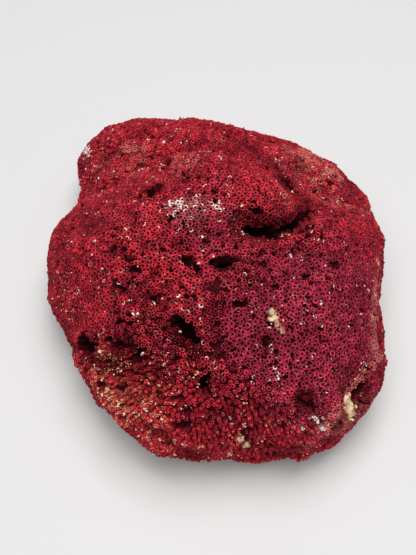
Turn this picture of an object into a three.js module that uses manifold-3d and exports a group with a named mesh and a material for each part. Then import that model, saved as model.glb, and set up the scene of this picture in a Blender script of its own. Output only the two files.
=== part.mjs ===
// Organ-pipe coral specimen: one massive colony that grew as a single piece, cut off flat at its base.
// Millimetres, +Z up, -Y towards the front. The origin lies on the base, under the middle of the colony.
import * as THREE from "three";
import { mergeVertices } from "three/addons/utils/BufferGeometryUtils.js";
import Module from "manifold-3d";

const wasm = await Module();
wasm.setup();

// Driving dimensions of the three growth masses that merged.
// The outline is the plan where a mass is widest, at the height of its level, around its heart.
// The skin is a rounded dome over that outline, squarer than an ellipsoid, and narrows below it to the foot.
const MAIN_MASS = {
  heart: [0, -8],
  level: 27,
  top: 72,
  foot: -24,
  squareness: 2.5,
  facets: 15,
  outline: [
    [77, 22],
    [73, 0],
    [71, -26],
    [68.5, -44],
    [58.5, -57.5],
    [49, -70],
    [33, -76.5],
    [10, -76],
    [-16, -76.5],
    [-36, -66],
    [-55, -49.5],
    [-63, -35],
    [-71, -18],
    [-76, 4],
    [-75, 25],
    [-64, 42],
    [-44, 52],
    [-18, 55],
    [10, 53],
    [30, 44],
    [48, 36],
    [68, 33],
  ],
};
const REAR_MASS = {
  heart: [0, 40],
  level: 26,
  top: 56,
  foot: -18,
  squareness: 2.4,
  facets: 12,
  outline: [
    [77, 28],
    [73, 47],
    [64, 61],
    [54, 70],
    [40, 77],
    [14, 83],
    [-8, 93],
    [-32, 95],
    [-50, 94],
    [-65, 84],
    [-70, 69],
    [-66, 54],
    [-66, 40],
    [-56, 16],
    [0, 4],
    [58, 2],
    [73, 12],
  ],
};
const BROW = {
  heart: [12, 25],
  level: 54,
  top: 80,
  foot: 6,
  squareness: 2.8,
  facets: 9,
  outline: [
    [32, 21],
    [28, 32],
    [17, 40],
    [-4, 48],
    [-24, 46],
    [-28, 24],
    [-14, 8],
    [6, 1],
    [23, 6],
  ],
};

// Broad rises and dips of a mass's upper side: plan place, radius and height
const MAIN_SWELLS = [
  { at: [-10, 24], radius: 30, rise: 7 }, // rise towards the brow
  { at: [27, -6], radius: 16, rise: -3 }, // hollow in front of the brow's lip
  { at: [52, -8], radius: 24, rise: 2.5 }, // right plateau
  { at: [-36, -6], radius: 24, rise: 1.5 }, // left plateau
  { at: [-34, -48], radius: 18, rise: -4 }, // lower tier under the left lip
];
const REAR_SWELLS = [
  { at: [-46, 76], radius: 17, rise: 4 }, // rear left knob
  { at: [-30, 64], radius: 11, rise: -3 }, // crease beside the knob
  { at: [2, 66], radius: 24, rise: 5 }, // rear ridge
  { at: [30, 60], radius: 12, rise: -3 }, // crease beside the shoulder
  { at: [50, 46], radius: 18, rise: 4 }, // rear right shoulder
];

// Roughness of the growth surface: distance between crests and height of a crest
const LUMP = { wave: 27, height: 2.2 };
const KNOB = { wave: 12, height: 2.2 };
const PIT_EDGE = { wave: 3.5, height: 1.1 };

// Pits where pipes are missing: plan place, half length, half width, half depth, and turn about the way out
const PITS = [
  { at: [-27, 26], half: [4.2, 2.4, 6], turn: 20 },
  { at: [-21, 43], half: [2.2, 1.8, 5], turn: 0 },
  { at: [2, -13], half: [4, 2.5, 8], turn: 12 },
  { at: [-10, -16], half: [4.4, 2.1, 5], turn: -15 },
  { at: [-15, -41], half: [6.5, 3.6, 8], turn: -38 },
  { at: [-9, -47], half: [4.5, 2.6, 5], turn: -38 },
  { at: [-6, -59], half: [2.4, 3.4, 7], turn: 0 },
  { at: [-13, -68], half: [3, 2.2, 6], turn: 0 },
  { at: [32, -63], half: [4.2, 2.6, 4], turn: 10 },
];

// Clefts under overhanging lips: the middle line and the radius of the hollow
const CLEFTS = [
  {
    // under the brow
    path: [[5, 8, 74], [15, 5, 70], [25, 7, 67.5], [33, 13, 66], [47, 22, 67]],
    radius: 5,
  },
  {
    // left flank
    path: [[-72, -28, 38], [-59, -37, 42], [-46, -46, 49], [-32, -48, 64]],
    radius: 4.2,
  },
  {
    // behind the brow
    path: [[32.5, 11, 67], [36, 18, 65], [36, 27, 62.5], [32, 35, 60], [25, 42, 58.5]],
    radius: 4.2,
  },
  {
    // right front flank
    path: [[76, -41, 47], [66.5, -49, 45], [57, -59, 42], [49, -69, 41.5], [44, -77, 39]],
    radius: 4.2,
  },
];
const CLEFT_SIDES = 8;
const CLEFT_STEPS = 10;

const CUT_BLOCK = { side: 300, depth: 40 }; // cuts the base flat
const OUTLINE_STEPS = 240;
const UNDERSIDE_POWER = 2; // the underside is a plain ellipsoid
const SWELL_FADE = 14; // height over the level in which the swells come in
const PIT_FACETS = 2;
const SLOPE_STEP = 1; // for reading the slope of the upper side
const WELD = 1e-4; // vertices closer than this are one
const SCATTER = { i: 127.1, j: 311.7, k: 74.7, spread: 43758.5453 }; // makes lattice values look random
const FULL_TURN = 2 * Math.PI;

// A number from -1 to 1 that is always the same for one lattice point
function latticeValue(i, j, k) {
  const wave = Math.sin(i * SCATTER.i + j * SCATTER.j + k * SCATTER.k) * SCATTER.spread;
  return 2 * (wave - Math.floor(wave)) - 1;
}

// Smooth random swelling from -1 to 1 with the given distance between its crests
function swelling(point, wave) {
  const scaled = point.clone().divideScalar(wave);
  const corner = scaled.clone().floor();
  const part = scaled.sub(corner);
  const ease = (t) => t * t * (3 - 2 * t);
  const share = (side, t) => Math.abs(1 - side - ease(t));
  let sum = 0;
  for (const i of [0, 1])
    for (const j of [0, 1])
      for (const k of [0, 1]) {
        const weight = share(i, part.x) * share(j, part.y) * share(k, part.z);
        sum += weight * latticeValue(corner.x + i, corner.y + j, corner.z + k);
      }
  return sum;
}

// The radius of a mass's outline as a function of the plan angle around its heart
function girthOf({ outline, heart }) {
  const corners = outline.map(([x, y]) => new THREE.Vector3(x - heart[0], y - heart[1], 0));
  const curve = new THREE.CatmullRomCurve3(corners, true, "centripetal");
  const round = curve
    .getPoints(OUTLINE_STEPS)
    .slice(0, OUTLINE_STEPS)
    .map((p) => ({ angle: Math.atan2(p.y, p.x), radius: Math.hypot(p.x, p.y) }))
    .sort((a, b) => a.angle - b.angle);
  return (angle) => {
    const found = round.findIndex((p) => p.angle > angle);
    const after = round[found < 0 ? 0 : found];
    const before = round.at(found < 0 ? -1 : found - 1);
    const span = (after.angle - before.angle + FULL_TURN) % FULL_TURN;
    const along = (angle - before.angle + FULL_TURN) % FULL_TURN;
    return THREE.MathUtils.lerp(before.radius, after.radius, span > 0 ? along / span : 0);
  };
}

// The sum of the swells at a plan place
function swellAt(swells, x, y) {
  const one = ({ at, radius, rise }) => rise * Math.exp(-((x - at[0]) ** 2 + (y - at[1]) ** 2) / radius ** 2);
  return swells.reduce((sum, swell) => sum + one(swell), 0);
}

// A closed three.js geometry as a solid that can be joined and cut
function toSolid(geometry) {
  const bare = geometry.clone();
  bare.deleteAttribute("normal");
  bare.deleteAttribute("uv");
  const merged = mergeVertices(bare, WELD);
  return new wasm.Manifold(
    new wasm.Mesh({
      numProp: 3,
      vertProperties: new Float32Array(merged.attributes.position.array),
      triVerts: new Uint32Array(merged.index.array),
    }),
  );
}

// The roughness of the growth surface at a point
function roughness(point) {
  return LUMP.height * swelling(point, LUMP.wave) + KNOB.height * swelling(point, KNOB.wave);
}

// One growth mass: a ball whose points move out along their rays to the dome's skin, with its roughness
function massSolid(mass, swells) {
  const girth = girthOf(mass);
  const heart = new THREE.Vector3(...mass.heart, mass.level);
  const ball = new THREE.IcosahedronGeometry(1, mass.facets);
  const places = ball.attributes.position;
  const ray = new THREE.Vector3();
  for (let v = 0; v < places.count; v++) {
    ray.fromBufferAttribute(places, v).normalize();
    const wide = girth(Math.atan2(ray.y, ray.x));
    const high = ray.z > 0 ? mass.top - mass.level : mass.level - mass.foot;
    const power = ray.z > 0 ? mass.squareness : UNDERSIDE_POWER;
    const flat = Math.hypot(ray.x, ray.y) / wide;
    const steep = Math.abs(ray.z) / high;
    const point = ray.clone().multiplyScalar((flat ** power + steep ** power) ** (-1 / power)).add(heart);
    const fade = THREE.MathUtils.smoothstep(point.z, mass.level, mass.level + SWELL_FADE);
    const rise = fade * swellAt(swells, point.x, point.y);
    point.addScaledVector(ray, roughness(point));
    places.setXYZ(v, point.x, point.y, point.z + rise);
  }
  return toSolid(ball);
}

// The height of the main mass's upper side over a plan place, without its roughness
function mainHeight(x, y) {
  const { heart, level, top, squareness } = MAIN_MASS;
  const wide = mainGirth(Math.atan2(y - heart[1], x - heart[0]));
  const flat = Math.min(1, Math.hypot(x - heart[0], y - heart[1]) / wide);
  const dome = level + (top - level) * (1 - flat ** squareness) ** (1 / squareness);
  return dome + swellAt(MAIN_SWELLS, x, y);
}

// A pit: an egg-shaped hollow whose long axis stands on the skin
function pitSolid({ at: [x, y], half, turn }) {
  const slopeX = (mainHeight(x + SLOPE_STEP, y) - mainHeight(x - SLOPE_STEP, y)) / (2 * SLOPE_STEP);
  const slopeY = (mainHeight(x, y + SLOPE_STEP) - mainHeight(x, y - SLOPE_STEP)) / (2 * SLOPE_STEP);
  const wayOut = new THREE.Vector3(-slopeX, -slopeY, 1).normalize();
  const hollow = new THREE.IcosahedronGeometry(1, PIT_FACETS).scale(...half);
  hollow.rotateZ(THREE.MathUtils.degToRad(turn));
  hollow.applyQuaternion(new THREE.Quaternion().setFromUnitVectors(new THREE.Vector3(0, 0, 1), wayOut));
  hollow.translate(x, y, mainHeight(x, y));
  const places = hollow.attributes.position;
  const point = new THREE.Vector3();
  for (let v = 0; v < places.count; v++) {
    point.fromBufferAttribute(places, v);
    const ragged = PIT_EDGE.height * swelling(point, PIT_EDGE.wave);
    places.setXYZ(v, point.x + ragged, point.y + ragged, point.z);
  }
  return toSolid(hollow);
}

// A cleft: a round hollow that follows its middle line
function cleftSolid({ path, radius }) {
  const middle = new THREE.CatmullRomCurve3(path.map((point) => new THREE.Vector3(...point)));
  const section = new THREE.Shape();
  for (let side = 0; side < CLEFT_SIDES; side++) {
    const angle = (FULL_TURN * side) / CLEFT_SIDES;
    const draw = side === 0 ? "moveTo" : "lineTo";
    section[draw](radius * Math.cos(angle), radius * Math.sin(angle));
  }
  return toSolid(new THREE.ExtrudeGeometry(section, { extrudePath: middle, steps: CLEFT_STEPS }));
}

function colonySolid() {
  const { side, depth } = CUT_BLOCK;
  const block = new THREE.BoxGeometry(side, side, depth).translate(0, 0, -depth / 2);
  const masses = [massSolid(REAR_MASS, REAR_SWELLS), massSolid(BROW, [])];
  const grown = masses.reduce((whole, mass) => whole.add(mass), massSolid(MAIN_MASS, MAIN_SWELLS));
  const hollows = [...PITS.map(pitSolid), ...CLEFTS.map(cleftSolid)];
  return [toSolid(block), ...hollows].reduce((whole, hollow) => whole.subtract(hollow), grown);
}

// A solid's vertices and triangles as a three.js geometry
function toGeometry(solid) {
  const made = solid.getMesh();
  const geometry = new THREE.BufferGeometry();
  geometry.setAttribute("position", new THREE.BufferAttribute(made.vertProperties, 3));
  geometry.setIndex(new THREE.BufferAttribute(made.triVerts, 1));
  geometry.computeVertexNormals();
  return geometry;
}

// Moves a geometry so that the middle of its plan is over the origin
function centred(geometry) {
  geometry.computeBoundingBox();
  const middle = geometry.boundingBox.getCenter(new THREE.Vector3());
  return geometry.translate(-middle.x, -middle.y, 0);
}

const mainGirth = girthOf(MAIN_MASS);
const coralRed = new THREE.MeshStandardMaterial({ color: 0x8c1f2b, roughness: 0.85, metalness: 0 });
const colony = new THREE.Mesh(centred(toGeometry(colonySolid())), coralRed);
colony.name = "coral_colony";

const specimen = new THREE.Group();
specimen.name = "organ_pipe_coral";
specimen.add(colony);
export default specimen;
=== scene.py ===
"""Organ-pipe coral: grows the pipes, platforms, grit and crusts of the colony on its solid."""

import functools
import itertools
import math
from types import SimpleNamespace

import bpy
import numpy as np
from bpy.props import FloatProperty, FloatVectorProperty, IntProperty, PointerProperty
from mathutils import Matrix, Vector
from mathutils.bvhtree import BVHTree
from mathutils.kdtree import KDTree


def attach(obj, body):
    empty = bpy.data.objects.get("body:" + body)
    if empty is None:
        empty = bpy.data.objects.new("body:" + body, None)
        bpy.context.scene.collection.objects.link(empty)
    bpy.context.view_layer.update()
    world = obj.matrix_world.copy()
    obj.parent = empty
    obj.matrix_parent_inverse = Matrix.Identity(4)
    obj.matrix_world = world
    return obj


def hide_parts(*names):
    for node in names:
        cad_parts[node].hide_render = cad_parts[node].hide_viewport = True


bl_info = {
    "name": "Organ-Pipe Coral",
    "version": (1, 0, 0),
    "blender": (4, 5, 0),
    "location": "View3D > Sidebar > Coral",
    "description": "Grows the pipes, platforms, grit and crusts of a red coral colony",
    "category": "Object",
}

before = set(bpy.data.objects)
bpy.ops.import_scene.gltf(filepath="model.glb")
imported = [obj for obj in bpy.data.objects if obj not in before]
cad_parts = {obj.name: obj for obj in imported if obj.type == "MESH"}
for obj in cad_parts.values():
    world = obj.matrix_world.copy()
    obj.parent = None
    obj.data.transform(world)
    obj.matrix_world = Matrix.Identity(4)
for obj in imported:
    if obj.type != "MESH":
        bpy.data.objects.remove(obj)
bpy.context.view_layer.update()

COLONY = "coral_colony"
BODY = "root"
MM = 0.001
FULL_TURN = 2 * math.pi
PHOTO_WIDE, PHOTO_HIGH = 416, 555
SENSOR = 36.0

# Even skin that everything grows on, and the broad form that gives the growth its direction
SKIN_STEP, SKIN_SMOOTHING = 1.15 * MM, 3
BROAD_STEP, BROAD_SMOOTHING = 4.0 * MM, 14
BASE_HEIGHT, BASE_FACING = 1.6 * MM, -0.8  # what lies lower and faces down more is the cut base

# In the patches a place is a pixel of the photo, a reach is millimetres on the coral, then a strength
FLUSH_PATCHES = (
    (338, 290, 24, 0.8), (330, 360, 24, 0.8), (285, 330, 20, 0.5), (215, 225, 18, 0.5),
    (255, 195, 18, 0.4), (100, 250, 20, 0.4), (230, 135, 30, 0.5), (120, 155, 24, 0.5),
    (330, 180, 26, 0.5),
)
OPEN_PATCHES = (
    (140, 340, 16, 0.4), (190, 400, 18, 0.6), (250, 428, 22, 0.9), (320, 430, 16, 0.5),
    (205, 285, 14, 0.3), (250, 252, 12, 0.4), (110, 385, 18, 0.9),
)
# Slim free pegs on the lower front
PEG_PATCHES = (
    (250, 432, 22, 1.0), (190, 425, 20, 1.0), (135, 405, 20, 0.9), (105, 375, 14, 0.7),
    (315, 440, 14, 0.6),
)
# Lumpy places, where the mouths don't lie in one even surface
LUMPY_PATCHES = (
    (230, 135, 28, 1.0), (120, 150, 26, 1.0), (330, 175, 28, 1.0), (380, 230, 12, 0.8),
    (60, 260, 16, 0.7), (75, 330, 14, 0.8), (110, 405, 14, 0.8), (170, 445, 16, 0.8), (240, 452, 16, 0.7),
    (310, 445, 16, 0.9), (370, 395, 14, 0.6),
)
# Spurs and dents of the outline, with a height in millimetres as their strength
SPURS = (
    (384, 361, 3.0, 2.4), (383, 340, 7.0, -1.8), (383, 380, 5.0, -1.4), (383, 237, 5.0, 1.8),
    (350, 178, 9.0, -2.8), (268, 138, 6.0, -2.2), (250, 133, 6.0, -1.0), (331, 445, 7.0, -3.0),
    (362, 412, 4.0, 1.4), (301, 456, 4.0, 1.6), (280, 458, 6.0, -1.4), (56, 234, 3.0, 1.2),
    (190, 121, 5.0, 1.0), (242, 218, 6.0, 3.0),
)
ROSE_PATCHES = (
    (345, 300, 26, 1.0), (335, 370, 24, 1.0), (280, 340, 22, 0.6), (215, 230, 18, 0.5),
    (230, 320, 18, 0.4), (290, 280, 16, 0.4), (162, 350, 9, 0.6), (362, 408, 9, 0.9), (330, 435, 9, 0.6),
    (240, 430, 26, 0.25),
)
# Lighter and darker tone of the pipes: partly their own tone, partly painted light that brightens the
# lower front
BRIGHT_PATCHES = (
    (210, 132, 28, -0.05), (115, 150, 20, 0.25), (320, 165, 22, 0.15), (85, 255, 26, -0.2),
    (255, 335, 24, -0.5), (250, 430, 26, 0.7), (110, 380, 18, 0.9), (150, 400, 18, 0.3),
    (330, 425, 16, 0.45), (255, 180, 18, 0.2), (205, 285, 30, 0.35), (172, 310, 2.5, 0.7),
    (230, 368, 3, 0.6), (140, 347, 4, 0.5), (188, 343, 3, 0.5), (128, 330, 3, 0.5),
)
SAND_PATCHES = (
    (104, 372, 12, 1.2), (120, 396, 12, 1.1), (160, 380, 11, 0.4), (245, 443, 7, 0.8), (352, 402, 5, 0.6),
    (70, 300, 9, 0.35), (150, 415, 10, 0.6), (160, 440, 9, 0.6), (205, 455, 8, 0.5),
)
WORN_PATCHES = (
    (178, 204, 7, 0.9), (208, 205, 7, 0.8), (186, 218, 9, 0.7), (172, 160, 9, 0.6), (192, 153, 7, 0.6),
    (195, 308, 6, 0.7), (300, 160, 16, 0.2), (330, 185, 10, 0.25), (85, 165, 11, 0.6), (135, 425, 7, 0.5),
    (158, 444, 7, 0.5), (300, 452, 6, 0.5),
)
# Pipes whose mouths are coated white
FROST_PATCHES = (
    (317, 423, 2.4, 1.0), (321, 428, 1.4, 1.0), (304, 430, 1.6, 1.0), (86, 152, 2.8, 1.0),
    (176, 203, 3.0, 0.8), (217, 204, 2.6, 0.7), (192, 201, 2.0, 0.6), (195, 308, 3.5, 0.3),
)
# Bleached to salmon, with painted highlight: the right edge, the ridge over the notch, the rear, the
# lower front and the brow's rim
BLEACH_AND_HIGHLIGHT_PATCHES = (
    (379, 266, 5, 0.7), (377, 282, 5, 1.1), (377, 298, 5, 1.1), (377, 314, 5, 1.1), (377, 330, 5, 1.1),
    (377, 346, 5, 1.1), (380, 359, 4, 0.9), (371, 371, 4, 0.8), (362, 382, 4, 0.8), (351, 392, 4, 0.7),
    (340, 408, 4, 0.5), (310, 160, 18, 0.65), (345, 205, 12, 0.5), (98, 165, 12, 0.5),
    (185, 160, 13, 0.6), (150, 175, 14, 0.4), (135, 152, 9, 0.3), (205, 250, 10, 0.3),
    (225, 440, 16, 0.3), (120, 412, 7, 0.15), (140, 430, 7, 0.2), (165, 445, 8, 0.3), (200, 455, 8, 0.3),
    (300, 452, 7, 0.5), (330, 428, 9, 0.8), (350, 422, 8, 0.9), (370, 402, 7, 0.5), (286, 196, 3, 0.7),
    (291, 208, 3, 0.7), (277, 184, 3, 0.5),
)
# Painted shade, darker colour where shade falls: the crease behind the brow and under it, the left
# recess, the notch
SHADE_PATCHES = (
    (262, 157, 4, 0.5), (272, 165, 4, 0.8), (283, 176, 4, 0.6), (291, 186, 4, 0.6), (298, 197, 4, 0.5),
    (301, 208, 4, 0.5), (240, 152, 5, 0.5), (215, 148, 5, 0.4), (262, 222, 5, 0.6), (241, 216, 6, -0.6),
    (88, 345, 6, 1.0), (112, 346, 5, 0.7), (140, 363, 6, 0.6), (366, 396, 5, 0.9), (356, 410, 5, 0.6),
    (310, 404, 6, 0.7), (130, 180, 6, 0.4), (110, 192, 6, 0.4),
)
# Pits and gaps without pipes: middle, half length and half width in pixels, turn in degrees
GAPS = (
    (178, 322, 10, 6.5, -8), (187, 329, 9, 8, -50), (193, 337, 9, 5, -48), (222, 261, 13, 6.5, 5),
    (191, 263, 12, 4, -37), (204, 382, 10, 5.5, 67), (184, 428, 10, 4.5, 0), (154, 189, 9.5, 4.5, 30),
    (169, 162, 4, 3, 25), (264, 232, 20, 5, -3), (297, 220, 17, 4.5, 36), (288, 186, 4.5, 3, -50),
    (259, 211, 7, 3, 0), (85, 346, 12, 6, -42), (111, 343, 10, 3, -34), (136, 359, 8, 6, -71),
    (129, 338, 8, 2.5, 57), (138, 270, 7.5, 3, -24), (121, 321, 9, 2.5, -7), (116, 285, 6, 2.5, -35),
    (240, 301, 7, 2.5, -3), (178, 398, 6.5, 2.5, 0), (308, 405, 10, 4, -27), (308, 275, 5, 2, 0),
    (336, 264, 11, 2, -8), (266, 341, 4, 3.5, 44), (150, 298, 4.7, 2.5, 24), (298, 450, 5, 2.5, 20),
    (360, 390, 9, 3.5, 40), (100, 386, 5, 2.5, -40), (128, 372, 6, 2.5, -10),
)
GAP_REACH = 16 * MM  # a gap belongs to the side that the photo shows
GAP_RAGGED, GAP_WAVE, GAP_SEED = 0.35, 3 * MM, 31.0

# Crusts: place, reach, number of grains on it, and how clean it is
SAND_CRUSTS = (
    (272, 311, 1.6, 0, 0.4), (275, 318, 1.5, 4, 1.0), (278, 325, 0.8, 0, 0.4), (282, 332, 0.7, 0, 0.4),
    (350, 401, 2.6, 6, 1.0), (352, 408, 2.8, 8, 1.0), (352, 414, 1.9, 4, 1.0), (241, 442, 1.5, 0, 0.4),
    (246, 450, 1.7, 0, 0.4), (230, 455, 1.2, 3, 1.0),
)
CHALK_CRUSTS = (
    (84, 153, 2.2, 6, 1.0),
)
# Single flakes: place and width in millimetres
CHALK_FLAKES = (
    (244, 232, 2.0), (295, 192, 1.8), (299, 188, 1.3), (276, 180, 1.3), (273, 161, 1.4), (312, 230, 1.5),
    (319, 240, 1.4), (292, 254, 1.7), (299, 259, 1.2), (324, 261, 1.3), (346, 239, 1.2), (303, 325, 1.2),
    (314, 315, 1.2), (315, 356, 1.3), (363, 364, 1.4), (367, 365, 1.2), (279, 378, 1.9), (276, 372, 1.3),
    (256, 383, 1.3), (234, 422, 1.4), (241, 428, 1.2), (145, 355, 1.5), (154, 305, 1.7), (131, 301, 1.3),
    (133, 314, 2.2), (137, 318, 2.2), (102, 279, 1.3), (101, 271, 1.3), (93, 241, 1.6), (98, 211, 1.4),
    (159, 171, 1.5), (85, 148, 2.6), (84, 153, 2.8), (87, 150, 3.0), (88, 155, 2.8), (83, 166, 1.8),
    (311, 418, 1.4), (315, 421, 1.8), (318, 424, 2.2), (321, 427, 2.0), (304, 430, 1.8), (171, 204, 1.4),
    (175, 201, 1.7), (178, 204, 1.9), (174, 208, 1.4), (181, 207, 1.2), (207, 208, 1.4), (216, 201, 1.7),
    (220, 205, 1.6), (223, 209, 1.2), (228, 193, 1.3), (202, 236, 1.6), (272, 348, 1.6), (275, 351, 1.3),
)
SAND_FLAKES = (
    (286, 234, 2.8), (282, 235, 2.0), (314, 167, 1.6), (315, 178, 1.4), (320, 181, 1.5), (311, 182, 1.1),
    (323, 176, 1.2), (321, 325, 1.7), (358, 379, 1.4), (246, 405, 1.7), (194, 373, 1.8), (216, 361, 1.4),
    (186, 364, 1.4), (169, 371, 1.3), (152, 383, 1.8), (160, 389, 1.6), (144, 400, 1.4), (105, 389, 1.9),
    (113, 394, 1.7), (94, 364, 1.7), (97, 368, 1.4), (148, 180, 1.9), (151, 142, 1.4), (157, 150, 1.2),
    (175, 131, 1.4), (180, 130, 1.4), (171, 136, 1.2), (186, 139, 1.2), (351, 398, 2.4), (350, 403, 3.0),
    (353, 407, 2.6), (351, 412, 2.0), (190, 201, 1.7), (195, 201, 1.5), (229, 188, 1.5),
)

# Smooth random reliefs are sums of swells: height, distance of the crests in millimetres, and seed
HASH_STEPS, HASH_SCALE = (127.1, 311.7, 74.7), 43758.5453
FLUSH_WAVES = ((0.3, 13, 0.0), (0.25, 5, 3.0))
LUMP_WAVES = ((0.6, 13, 7.0), (0.4, 6, 9.0))
RIPPLE_WAVES = ((0.4, 3.5, 11.0),)
LAYER_WAVES = ((1.0, 11, 51.0), (0.4, 4, 53.0))
CRACK_WAVES, CRACK_FRAY = ((1.0, 8, 21.0),), ((0.3, 2.4, 23.0),)
SPLIT_WAVES = ((1.0, 16, 25.0),)
HOLE_WAVES = ((1.0, 4.2, 27.0), (0.35, 2.4, 29.0))
TINT_WAVES = ((0.3, 6, 61.0), (0.25, 17, 63.0))
CORE_WAVES = ((0.5, 2.6, 41.0),)

# Where the pipes stand, and which way they point
CROWD = 130000  # random places that the pipes are spaced out from
EVENING = 3  # rounds that move each pipe to the middle of its own part of the crowd
NEAR = 8  # neighbours that a pipe is compared with
HEART = (0.0, -4 * MM, -30 * MM)  # the pipes spread out from about here
FACING_PULL, GROWTH_PULL, FLUSH_PULL, SPREAD_PULL = 0.45, 0.4, 0.6, 0.8
STEADYING = 2  # rounds that even the pipes' ways out among neighbours
STEEP = 0.8  # height of a unit way that counts as upright
TILT, PEG_TILT = 0.045, 0.09
ROOM, LEAST_ROOM, ROOM_LIFT = 8 * MM, 7 * MM, 0.5 * MM  # free space that a pipe needs over its mouth
FLOOR_ROOM = 0.3 * MM

# How flush the mouths lie with the platforms, and where the pipes stand free as pegs, from 0 to 1
FLUSH_USUAL, FLUSH_PATCH, FLUSH_CONTRAST, FLUSH_LOW = 0.82, 0.7, 1.7, 1.3
PEG_HEIGHT, PEG_LOW = 30 * MM, 0.6  # lower than this height there are ever more pegs
PEG_SOUND = 0.6  # clearer pegs than this have no holes among them

# How high the mouths stand over the skin, in millimetres
LUMP, LUMP_USUAL, LUMP_FLUSH, LUMP_LUMPY, LUMP_DROP = 2.9, 1.1, 0.75, 1.1, 0.3
RIPPLE_USUAL, RIPPLE_FLUSH = 1.1, 0.6
UNEVEN, UNEVEN_LOOSE = 0.05, 0.22
LAYER_LIMIT, LAYER_FLUSH, LAYER_DROP = 0.5, 0.5, (0.8, 1.3)  # places where a top layer has come off
STUMPS, SPIKES = (0.14, -1, 0.4, 1.6), (0.05, 1, 0.3, 1.0)  # share, down or up, least and most
CRACK_STRETCH = (0.6, 1.0, 1.0)  # cracks run from side to side
CRACK_WIDE, CRACK_SLOPE, CRACK_DIP = 0.13, 0.12, 0.7
SPLIT_USUAL, SPLIT_FLUSH, SPLIT_LUMPY = 0.45, 0.6, 0.5
HOLE_LIMIT, HOLE_FLUSH, HOLE_DROP = 0.72, 0.22, (1.0, 2.8)

# What colours a pipe
# Rays that measure how much of the sky the coral covers over each pipe, for painted shade
SKY_RAYS, SKY_REACH, SKY_LIFT, SKY_WIDE = 12, 24 * MM, 1.0 * MM, 0.95
SHADE_FREE, SHADE_SPAN = 0.04, 0.35  # covered sky that still counts as open, and on to full shade
RIDGE_LIFT, RIDGE_LIMIT = 1.5 * MM, 2
LUMP_TOP = 0.05  # relief that is neither a top nor a hollow
# Painted shade in hollows and on sunken pipes, painted highlight on lump tops
HOLLOW_SUNKEN, HOLLOW_USUAL, HOLLOW_LUMPY = 0.6, 0.4, 0.7
TOP_USUAL, TOP_LUMPY = 0.25, 0.6
# PALE_RIDGE, PALE_RELIEF, TINT_RIDGE and TINT_RELIEF paint highlight: rims paler and tone lighter on
# ridges and lump tops
PALE_CHANCE, PALE_RIDGE, PALE_LOOSE, PALE_RELIEF = 0.9, 0.25, 0.3, 0.2
PALE_PEG, PALE_FLUSH = 0.35, 0.7
TINT_USUAL, TINT_PEG, TINT_RIDGE, TINT_RELIEF, TINT_SPREAD = 0.5, 0.35, 0.1, 0.25, 0.28
ROSE_PATCH, ROSE_FLUSH, ROSE_DROP = 0.85, 0.2, 0.05
FROST_USUAL, FROST_WORN, FROST_RANGE = 0.012, 0.14, (0.5, 1.0)
SAND_RANGE, BLEACH_RANGE = (0.2, 1.3), (0.4, 1.3)
CRUST_SPREAD = 1.2  # a crust stains pipes this much further than it reaches
# Painted shade: a sunken mouth's pipe is coloured as if deeper, and so darker
SUNK_DARKER = 0.06  # depth that each millimetre of a sunken mouth counts for

# Rings of a pipe: shares and ratios are plain numbers, depths of breaks are millimetres
BROKEN_FLUSH, BROKEN_LOOSE = 0.2, 0.47  # share of broken rims, and more where the pipes stand free
BREAK_DEPTH, CHIP_DEPTH, SOUND_DEPTH = (0.15, 1.0), (0.0, 0.2), 0.03
STEP_PEG, STEP_RANGE = 0.45, (0.7, 1.4)
WIDTH_SPREAD, WIDTH_LIMITS, WIDTH_RAGGED = 0.09, (0.8, 1.2), (0.88, 1.1)
WIDTH_LOOSE, WIDTH_PEG, LEAST_RADIUS = 0.12, 0.24, 0.58 * MM
BORE_SPREAD, BORE_LIMITS, BORE_RAGGED = 0.15, (0.65, 1.3), (0.82, 1.14)
BORE_PEG, BORE_MOST = 0.4, 0.82
PLATFORM_DROP, PLATFORM_UNEVEN = 0.05 * MM, (0.0, 0.12)
OPEN_FLUSH, OPEN_LOOSE, OPEN_DROP = 0.06, 0.36, (0.3, 1.4)  # sides where a platform has broken away
COLLAR_LIMIT = 1.5 * MM  # a side without a neighbour this near stands free
COLLAR_NEAR = 10
COLLAR_OVERLAP, EDGE_OUT, ROOT_TAPER, CREST = 1.06, 1.01, 0.9, 0.94
FREE_DROP, RIM_DIP = 1.2 * MM, 0.06 * MM
# Painted shade at the mouth of each bore, which darkens on down the bore
MOUTH_DARK = 0.15
COAT_EDGE, COAT_WIDER = 0.1, 2  # a white coat covers less than half of a rim, or more where it is thick
SHARP_EDGE = math.radians(62)
RING_SPOTS = (0.49, 0.43, 0.32, 0.20)  # a pipe's rings as circles in its map cell
PIPE_GROUPS = ("pipes_rear_left", "pipes_left", "pipes_front", "pipes_right", "pipes_rear_right")
PIPE_LOOKS = ("tint", "rose", "sand", "worn", "crust", "pale", "shade", "bleach_and_highlight", "pit", "peg")

# Core under the pipes, and the cut ends of the pipes on the base
CORE_STEP, CORE_EVENING = 1.6 * MM, 3
CORE_BASE = 1.2 * MM  # the core ends this high over the cut base
CORE_ROOM, PIT_INSET = 9 * MM, 1.8 * MM  # with less free room the core lies less deep, down to the inset
# GAP_BLACK: how far around the gaps the core is painted black, as painted shade
GAP_SINK, GAP_SLOPE, GAP_BLACK = 8 * MM, 2.5, 1.5
BASE_CROWD, BASE_SPACING, BASE_SIDES, BASE_COLLAR = 60000, 1.2, 6, 1.4 * MM
BASE_STEP = 0.1 * MM
BASE_LOOKS = {"rose": 0.3, "sand": 0.25, "worn": 0.35, "crust": 0, "shade": 0, "bleach_and_highlight": 0, "pit": 0}

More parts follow.
